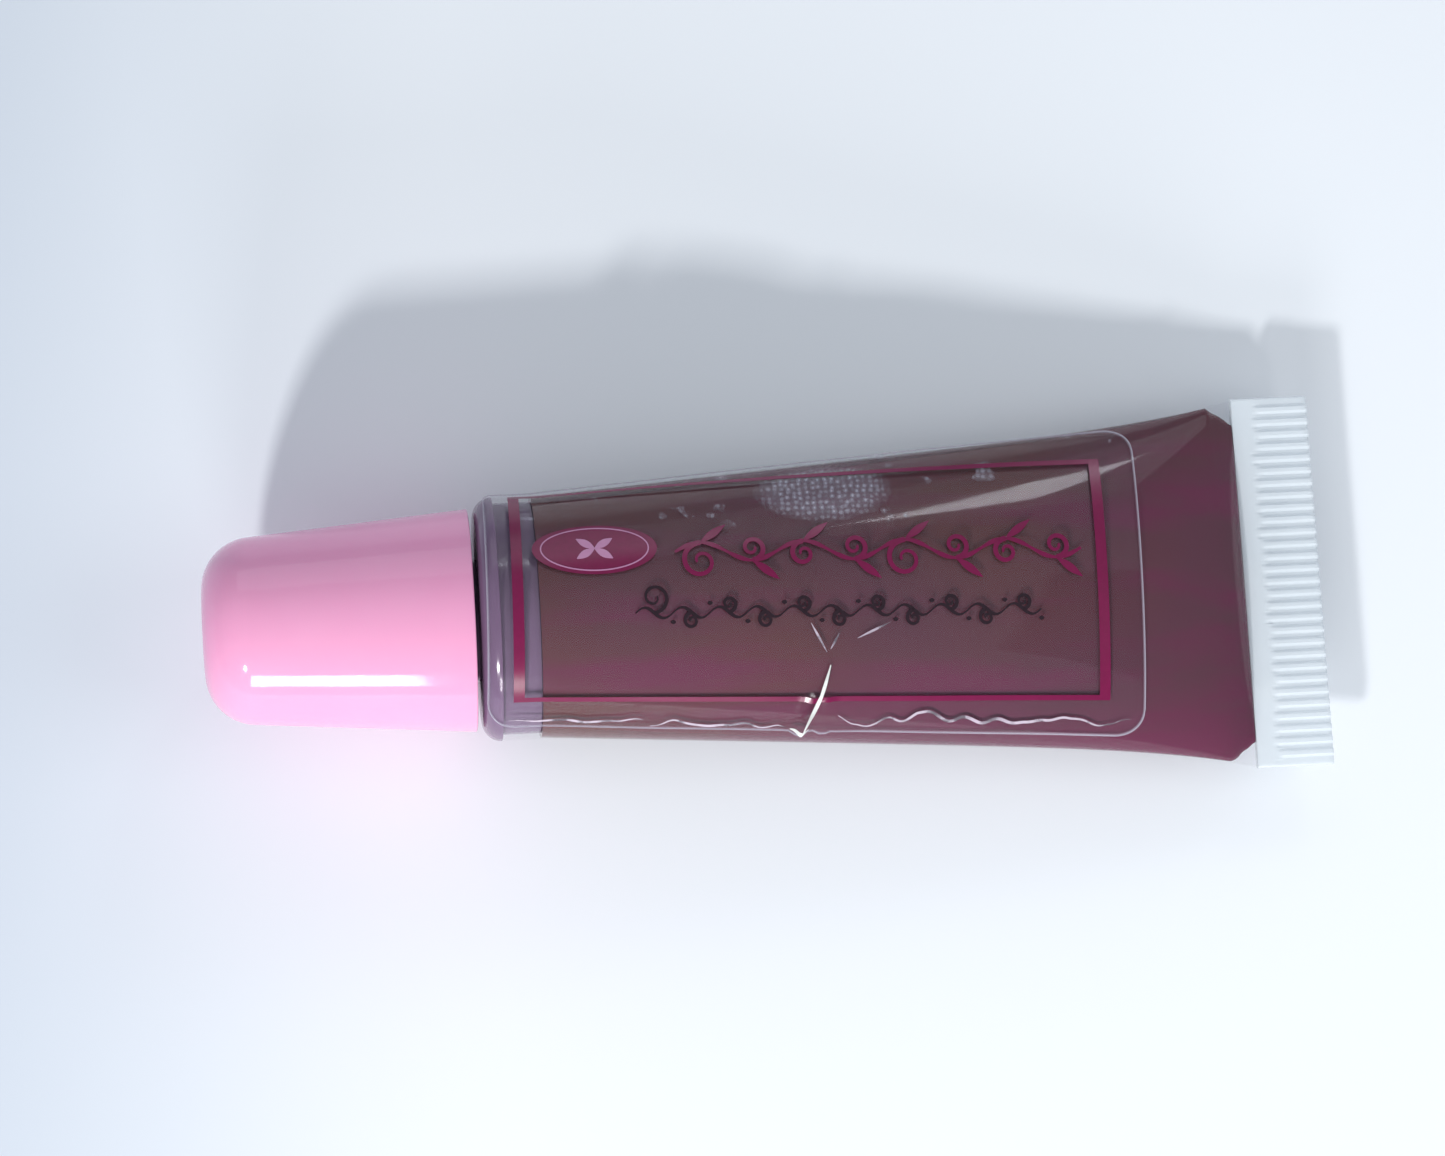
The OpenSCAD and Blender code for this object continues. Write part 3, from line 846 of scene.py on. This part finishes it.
def running_scroll():
    """A row of small dark curls on a fine wavy line, with a berry between each two."""
    start, end, middle, sway = 11.3, 42.9, -2.5, 0.4
    curls = 11
    pitch = (end - start) / curls

    def line(t):
        along = start + (end - start) * t
        return along, middle + sway * sin(2 * pi * (along - start) / pitch)

    strokes = [stroke(line, lambda t: 0.12 + 0.16 * sin(pi * curls * t) ** 2, 170)]
    for number in range(curls):
        way = 1 if number % 2 == 0 else -1
        size = 1.15 if number == 0 else 0.62
        root = line((number + 0.5) / curls)
        strokes.append(stroke(curl(root, size, way), lambda t: 0.3 - 0.16 * t, 32))
        berry = (root[0] + pitch / 2, root[1] - way * 0.7)
        strokes.append(stroke(straight((berry[0] - 0.2, berry[1]), (berry[0] + 0.2, berry[1])),
                              tapering(0.34, 0.1), 6))
    return join(*strokes)


def air_lines():
    """Wavering lines along the label's lower edge, where the film has let go of the sleeve."""
    def wavering(start, end, level, swing, seed):
        def path(t):
            along = start + (end - start) * t
            return along, level + swing * noise.noise(Vector((along * 0.6, seed, 0.5)))
        return path

    # Each line as (start, end, level, swing, seed), then the short ones as (start, end)
    lines = [(27.0, 50.0, -11.3, 1.0, 1.0), (1.6, 12.0, -11.7, 0.5, 4.0), (12.5, 22.8, -12.0, 0.6, 7.0)]
    wings = [((26.0, -5.6), (24.8, -3.4)), ((26.3, -5.4), (27.0, -4.2)), ((28.4, -4.6), (31.0, -3.4))]
    return join(*[stroke(wavering(*line), tapering(0.26), 90) for line in lines],
                *[stroke(straight(*wing), tapering(0.18, 0.03), 20) for wing in wings])


def film_fold():
    """Painted highlights: pale strokes laid along the sharp crest of the pucker and its foot, where the
    crease catches the light.
    """
    lift = INK_LIFT + 0.05
    crest = stroke(straight((24.3, -12.3), (25.9, -8.4)), tapering(0.42, 0.1), 40, lift)
    second = stroke(straight((25.2, -10.6), (26.3, -6.6)), tapering(0.28, 0.06), 30, lift)
    foot = stroke(straight((23.3, -12.2), (24.8, -12.3)), tapering(0.3, 0.06), 16, lift)
    return join(crest, second, foot)


# ---------------------------------------------------------------- head, nozzle and cap

def quarter(centre_r, centre_z, radius, start, end, steps=10):
    """Points of an arc as (radius, height), between two angles from the tube's side."""
    return [(centre_r + radius * cos(start + (end - start) * i / steps),
             centre_z + radius * sin(start + (end - start) * i / steps)) for i in range(steps + 1)]


def shoulder_head():
    """Shoulder with its rounded edge, the skirt inside the sleeve and the threaded neck."""
    skirt_r = BORE_R - JOINED_GAP
    inner_r = skirt_r - SKIRT_WALL
    profile = [(NECK_BORE, -SHOULDER_T), (NECK_BORE, NECK_H), (NECK_R, NECK_H), (NECK_R, 0)]
    profile += quarter(SLEEVE_R - SHOULDER_R, -SHOULDER_R, SHOULDER_R, pi / 2, 0)
    profile += [(skirt_r, -SHOULDER_R - 0.01), (skirt_r, -ROUND_END), (inner_r, -ROUND_END),
                (inner_r, -SHOULDER_T)]
    thread = screw_thread(NECK_R, THREAD_R, THREAD_START, THREAD_TURNS)
    return join(turned(profile, soft=0.06), thread)


def applicator_nozzle():
    """Plug, flange and a tip cut on the slant, with the orifice right through."""
    orifice_r = ORIFICE_D / 2
    plug_r = NECK_BORE - JOINED_GAP
    top = NECK_H + JOINED_GAP
    foot = NECK_H - PLUG_L
    bm = turned([(orifice_r, foot), (plug_r, foot), (plug_r, top), (NOZZLE_FLANGE_R, top),
                 (NOZZLE_FLANGE_R, FLANGE_TOP), (NOZZLE_R, FLANGE_TOP), (NOZZLE_R, SLANT_LOW),
                 (NOZZLE_R - NOZZLE_TAPER, NOZZLE_TIP), (orifice_r, NOZZLE_TIP)])
    slope = Vector((sin(SLANT), 0, cos(SLANT)))
    cut = bmesh.ops.bisect_plane(bm, geom=bm.verts[:] + bm.edges[:] + bm.faces[:], dist=1e-4,
                                 plane_co=(NOZZLE_R, 0, SLANT_LOW), plane_no=slope, clear_outer=True)
    loops = [edge for edge in cut["geom_cut"] if isinstance(edge, bmesh.types.BMEdge)]
    bmesh.ops.bridge_loops(bm, edges=loops)
    bmesh.ops.bevel(bm, geom=[edge for edge in loops if edge.is_valid], offset=0.18, segments=3,
                    profile=0.5, affect="EDGES", material=-1)
    weld(bm, 1e-3)
    return bm


def cap_shell():
    """Tapered cup with a rounded corner and a flat end, open at its rim."""
    side = atan(CAP_TAPER / (CAP_SIDE_TOP - RIM_GAP))
    inner_corner = CAP_CORNER - CAP_WALL
    inner_top = CAP_TOP - CAP_END_T
    profile = [(0, inner_top)]
    profile += quarter(CAP_CORNER_R, inner_top - inner_corner, inner_corner, pi / 2, 0)
    profile += [(cap_bore(RIM_GAP), RIM_GAP), (CAP_BASE_R, RIM_GAP)]
    profile += quarter(CAP_CORNER_R, CAP_SIDE_TOP, CAP_CORNER, side, pi / 2, 14)
    profile += [(0, CAP_TOP)]
    return turned(profile, soft=0.14, steps=180, ring=False)


def cap_liner():
    """Inner cap: thread below, a closed cup over the nozzle above, and ribs that grip the cap."""
    cup_out = LINER_CUP_R + LINER_WALL
    rim_top = LINER_BOTTOM + LINER_WALL
    cup_end = LINER_TOP - LINER_WALL
    bm = turned([(0, cup_end), (LINER_CUP_R, cup_end), (LINER_CUP_R, LINER_LEDGE),
                 (LINER_BORE, LINER_LEDGE), (LINER_BORE, LINER_BOTTOM),
                 (cap_bore(LINER_BOTTOM) - JOINED_GAP, LINER_BOTTOM),
                 (cap_bore(rim_top) - JOINED_GAP, rim_top), (LINER_R, rim_top),
                 (LINER_R, LINER_SHOULDER), (cup_out, LINER_SHOULDER), (cup_out, LINER_TOP),
                 (0, LINER_TOP)], soft=0.1, ring=False)
    foot = LINER_BOTTOM + LINER_WALL / 2
    root_r = LINER_R - 0.4
    corners = [(root_r, foot), (cap_bore(foot) - JOINED_GAP, foot),
               (cap_bore(LINER_SHOULDER) - JOINED_GAP, LINER_SHOULDER), (root_r, LINER_SHOULDER)]
    ribs = []
    for number in range(LINER_RIBS):
        rib = bmesh.new()
        rib.faces.new([rib.verts.new((r, 0, z)) for r, z in corners])
        bmesh.ops.spin(rib, geom=rib.faces[:], cent=(0, 0, 0), axis=(0, 0, 1),
                       angle=radians(LINER_RIB_DEG), steps=4)
        bmesh.ops.rotate(rib, verts=rib.verts, cent=(0, 0, 0),
                         matrix=Matrix.Rotation(2 * pi * number / LINER_RIBS, 3, "Z"))
        bmesh.ops.recalc_face_normals(rib, faces=rib.faces)
        ribs.append(rib)
    # The liner's thread lies just under the neck's, from its own rim up to the last turn
    flank = THREAD_DEPTH / 2
    mesh = THREAD_CREST + flank * (THREAD_DEPTH - THREAD_GAP) / (THREAD_DEPTH + THREAD_SINK)
    under = THREAD_START - mesh - FLANK_GAP
    skip = (LINER_BOTTOM + THREAD_ROOT / 2 + 0.1 - under) / THREAD_PITCH
    thread = screw_thread(LINER_BORE, NECK_R + THREAD_GAP, under + skip * THREAD_PITCH,
                          THREAD_TURNS - skip, skip)
    return join(bm, thread, *ribs)


def seal_ring():
    """Soft ring between the nozzle's flange and the liner."""
    inner, outer = NOZZLE_R + MOVING_GAP, LINER_BORE - MOVING_GAP / 2
    low = FLANGE_TOP + JOINED_GAP / 2
    top = low + SEAL_RING_T
    return turned([(inner, low), (outer, low), (outer, top), (inner, top)], soft=0.18)


# ---------------------------------------------------------------- the scene

# Each node's body and the slot of its material
NODES = {
    "tube_sleeve": ("tube", "clear_polyethylene"),
    "shoulder_head": ("tube", "natural_polyethylene"),
    "applicator_nozzle": ("tube", "natural_polyethylene"),
    "gloss_fill": ("tube", "plum_gloss"),
    "label_film": ("tube", "clear_label"),
    "seal_ring": ("seal", "seal_foam"),
    "cap_liner": ("cap", "white_polypropylene"),
    "cap_shell": ("cap", "pink_polypropylene"),
}


def dress_the_tube():
    """Every piece, with its finish and the node that it stands for."""
    magenta = printing_ink("magenta_printing_ink", "#7c0746", "#6c053c")
    black = printing_ink("black_printing_ink", "#2b1420", "#1d0d16")
    pale = printing_ink("pale_printing_ink", "#c98fb4", "#b87aa4")
    air = air_sheen_and_painted_glint("air_under_film", "#d9c9d8", 0.1, 0.7)
    # A near-white sheen painted on the crease of the film, standing for its highlight
    glint = air_sheen_and_painted_glint("painted_crease_highlight", "#f4f6f2", 0.6, 0.95)
    pieces = [
        ("tube_wall", tube_sleeve, clear_extruded_polyethylene(), "tube_sleeve"),
        ("tail_seal_ribs", tail_seal, welded_polyethylene(), "tube_sleeve"),
        ("neck_and_shoulder", shoulder_head, tinted_moulded_polyethylene(), "shoulder_head"),
        ("slanted_nozzle", applicator_nozzle, natural_moulded_polyethylene(), "applicator_nozzle"),
        ("plum_gel", gloss_fill, plum_gloss_gel(), "gloss_fill"),
        ("clear_sticker", label_film, clear_label_film(), "label_film"),
        ("printed_border", print_frame, magenta, "label_film"),
        ("printed_oval", badge_disc, magenta, "label_film"),
        ("printed_flower", badge_flower, pale, "label_film"),
        ("printed_vine", vine, magenta, "label_film"),
        ("printed_scroll", running_scroll, black, "label_film"),
        ("lifted_film_lines", air_lines, air, "label_film"),
        # Painted highlight strokes along the pucker's crease
        ("painted_fold_highlight", film_fold, glint, "label_film"),
        ("foam_seal_ring", seal_ring, expanded_polyethylene_foam(), "seal_ring"),
        ("threaded_inner_cap", cap_liner, white_moulded_polypropylene(), "cap_liner"),
        ("pink_cap", cap_shell, pink_moulded_polypropylene(), "cap_shell"),
    ]
    for name, shape, finish, node in pieces:
        body, slot = NODES[node]
        add_piece(name, shape(), finish, body, node)


def direction(azimuth, elevation):
    """Unit vector towards a light or the camera: azimuth 0 is the front and 90 the right."""
    a, e = radians(azimuth), radians(elevation)
    return Vector((sin(a) * cos(e), -cos(a) * cos(e), sin(e)))


def add_light(name, azimuth, elevation, distance, size, power, colour, mirrored=True):
    """A soft area light that looks at the tube; size is (width, height).

    One that isn't mirrored lights the tube but doesn't show in its shine.
    """
    data = bpy.data.lights.new(name, "AREA")
    data.shape = "RECTANGLE"
    data.size, data.size_y = size
    data.energy = power
    data.color = srgb(colour)[:3]
    light = bpy.data.objects.new(name, data)
    bpy.context.collection.objects.link(light)
    way = direction(azimuth, elevation)
    light.location = way * distance
    light.rotation_mode = "QUATERNION"
    light.rotation_quaternion = way.to_track_quat("Z", "Y")
    light.visible_glossy = mirrored


def light_the_table():
    """A plain pale table in a pale room, with a lamp, a window, two panels behind and a fill."""
    bm = bmesh.new()
    bmesh.ops.create_grid(bm, x_segments=4, y_segments=4, size=1.5)
    mesh = bpy.data.meshes.new("table")
    bm.to_mesh(mesh)
    bm.free()
    mesh.materials.append(matt_table())
    table = bpy.data.objects.new("table", mesh)
    bpy.context.collection.objects.link(table)

    world = bpy.data.worlds.new("pale_room")
    bpy.context.scene.world = world
    world.use_nodes = True
    room = world.node_tree.nodes["Background"]
    room.inputs["Color"].default_value = srgb("#e1e9f4")
    room.inputs["Strength"].default_value = 0.47

    add_light("soft_lamp", -27, 33.5, 0.6, (0.045, 0.045), 2.15, "#ffffff")
    add_light("low_window", -7, 20, 0.5, (0.14, 0.12), 0.95, "#ffffff")
    add_light("back_panel", 154.5, 35, 0.8, (0.085, 0.13), 0.24, "#f3f7ff")
    add_light("back_wall", 176, 32, 0.8, (0.9, 0.45), 0.9, "#eef3fa")
    add_light("right_fill", 80, 45, 0.35, (0.2, 0.2), 0.25, "#ffffff", mirrored=False)


def set_the_camera():
    """Nearly overhead, a little from the front and the left, at the height of the tube's middle."""
    elevation, azimuth, distance, height = 82.0, -3.45, 0.35, 0.008
    leftwards, upwards = 0.0034, 0.00219
    data = bpy.data.cameras.new("camera")
    data.sensor_width = 36
    data.lens = 111.4
    data.clip_start, data.clip_end = 0.01, 10
    camera = bpy.data.objects.new("camera", data)
    bpy.context.collection.objects.link(camera)
    back = direction(azimuth, elevation)
    right = Vector((cos(radians(azimuth)), sin(radians(azimuth)), 0))
    up = back.cross(right)
    aim = Vector((0, 0, height))
    camera.location = aim + back * distance - right * leftwards + up * upwards
    camera.rotation_mode = "QUATERNION"
    camera.rotation_quaternion = Matrix((right, up, back)).transposed().to_quaternion()
    bpy.context.scene.camera = camera


dress_the_tube()
light_the_table()
set_the_camera()
bpy.context.scene.view_settings.view_transform = "Standard"
